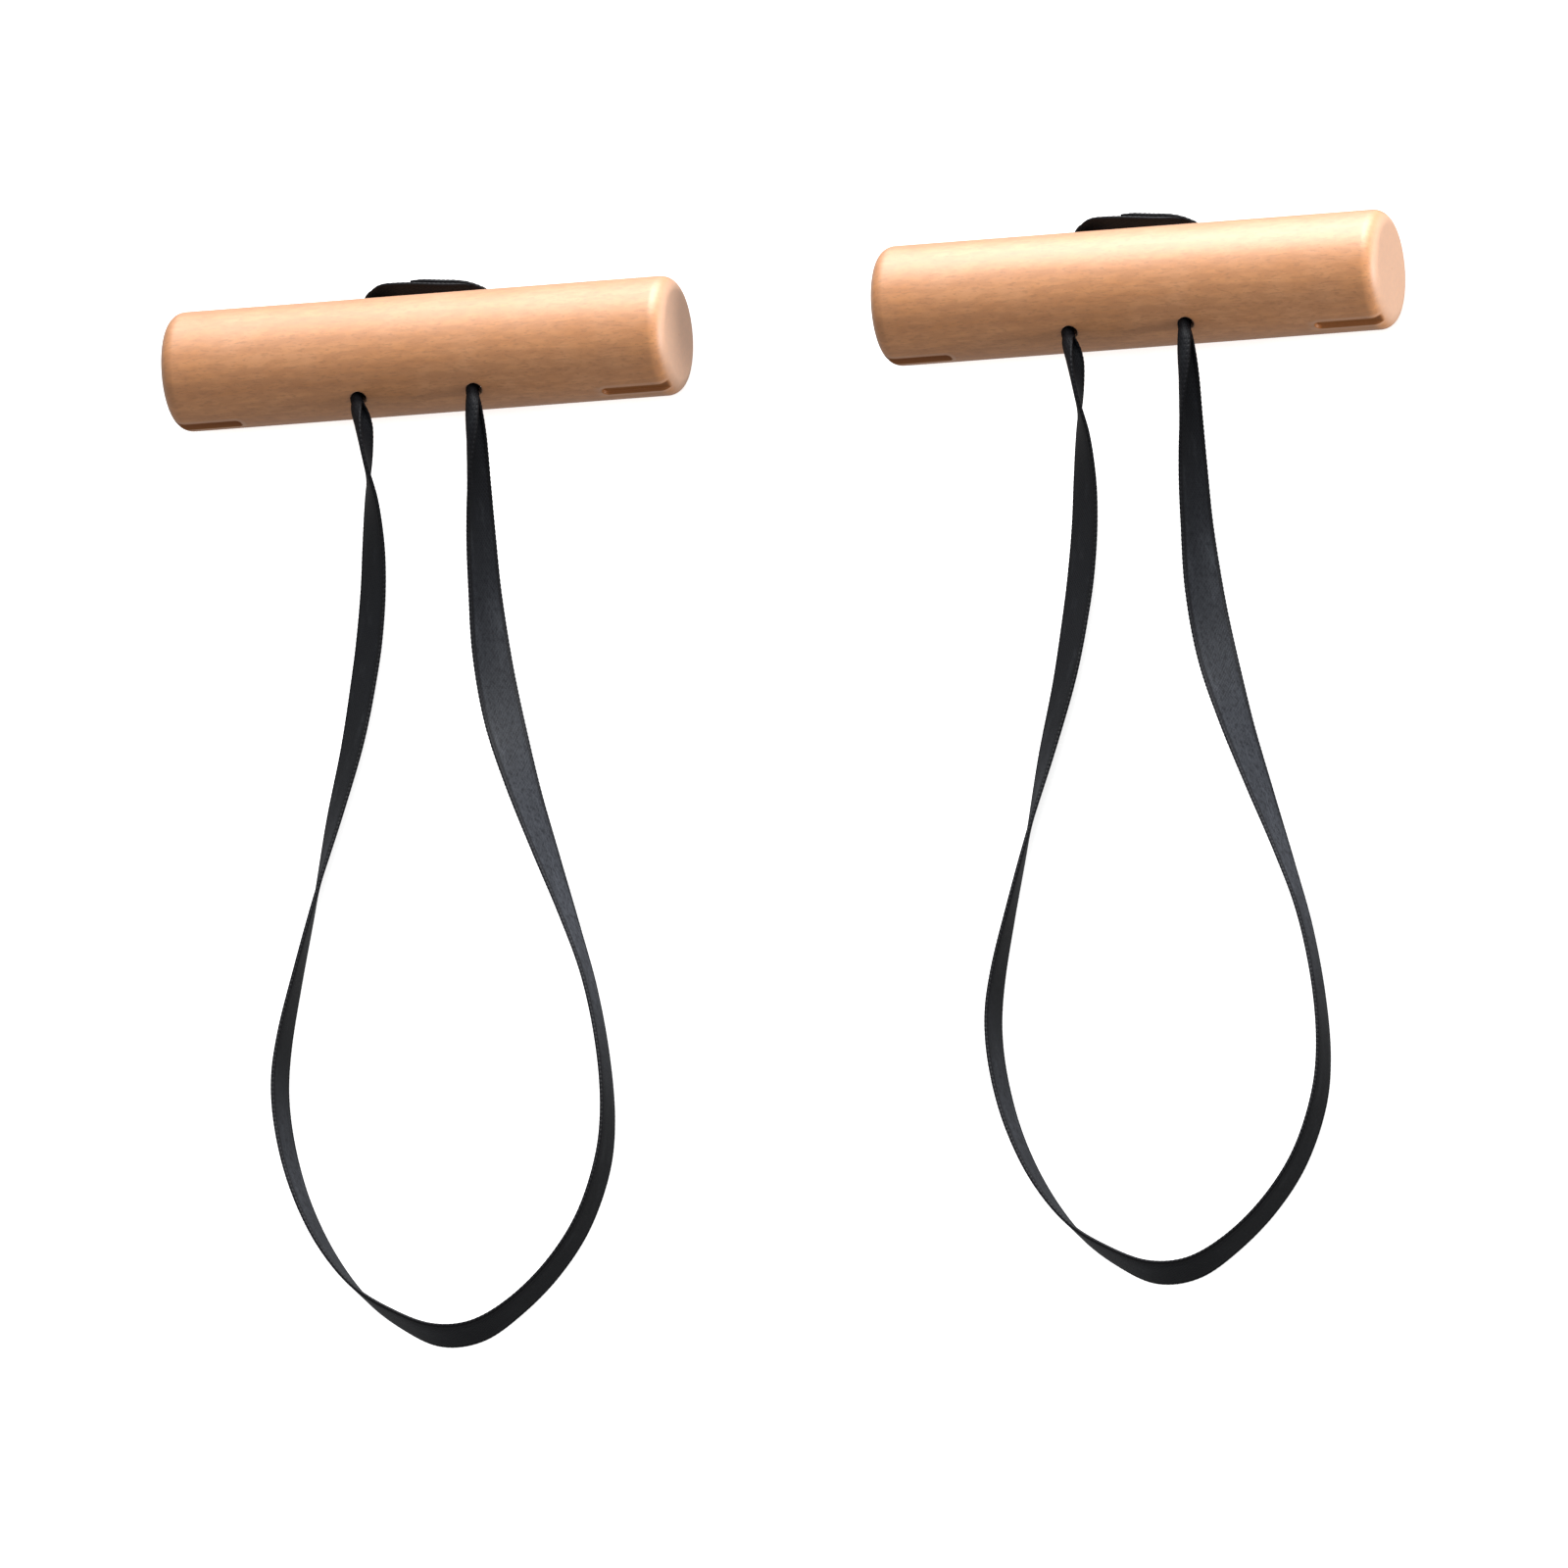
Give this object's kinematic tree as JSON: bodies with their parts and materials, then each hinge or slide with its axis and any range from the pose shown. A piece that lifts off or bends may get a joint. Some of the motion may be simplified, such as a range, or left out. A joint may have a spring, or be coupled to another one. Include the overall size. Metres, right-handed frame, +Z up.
{
  "type": "wooden grip handle pair",
  "caption": "Turned wooden grip dowels, each with a loop of flat webbing threaded through its cross holes, for hanging from a bar.",
  "frame": {"origin": "on the surface that the dowels lie on, below the middle of the box round both dowels and the webbing behind them", "axes": "+X along the dowels towards the right handle, +Y away from the loops, +Z up"},
  "size_m": [0.445, 0.4074, 0.042],
  "materials": {
    "beech": "fine-sanded, lightly oiled satin beech",
    "webbing": "flat woven black nylon webbing",
    "thread": "bonded black sewing thread"
  },
  "bodies": {
    "left_handle": {"left_grip": "beech", "left_lap_outer": "webbing", "left_lap_inner": "webbing", "left_bar_tack_1": "thread", "left_bar_tack_2": "thread"},
    "left_strap": {"left_webbing_loop": "webbing"},
    "right_handle": {"right_grip": "beech", "right_lap_outer": "webbing", "right_lap_inner": "webbing", "right_bar_tack_1": "thread", "right_bar_tack_2": "thread"},
    "right_strap": {"right_webbing_loop": "webbing"}
  },
  "joints": [
    {"name": "left_strap_swing", "type": "hinge", "parent": "left_handle", "child": "left_strap", "pos_m": [-0.13, -0.02895, 0.0308], "axis": [-1, 0, 0], "range_deg": [0, 100]},
    {"name": "right_strap_swing", "type": "hinge", "parent": "right_handle", "child": "right_strap", "pos_m": [0.13, -0.02435, 0.0308], "axis": [-1, 0, 0], "range_deg": [0, 100]},
    {"name": "right_handle_slide", "type": "slide", "parent": "left_handle", "child": "right_handle", "axis": [1, 0, 0], "range_m": [-0.06, 0.35]}
  ]
}
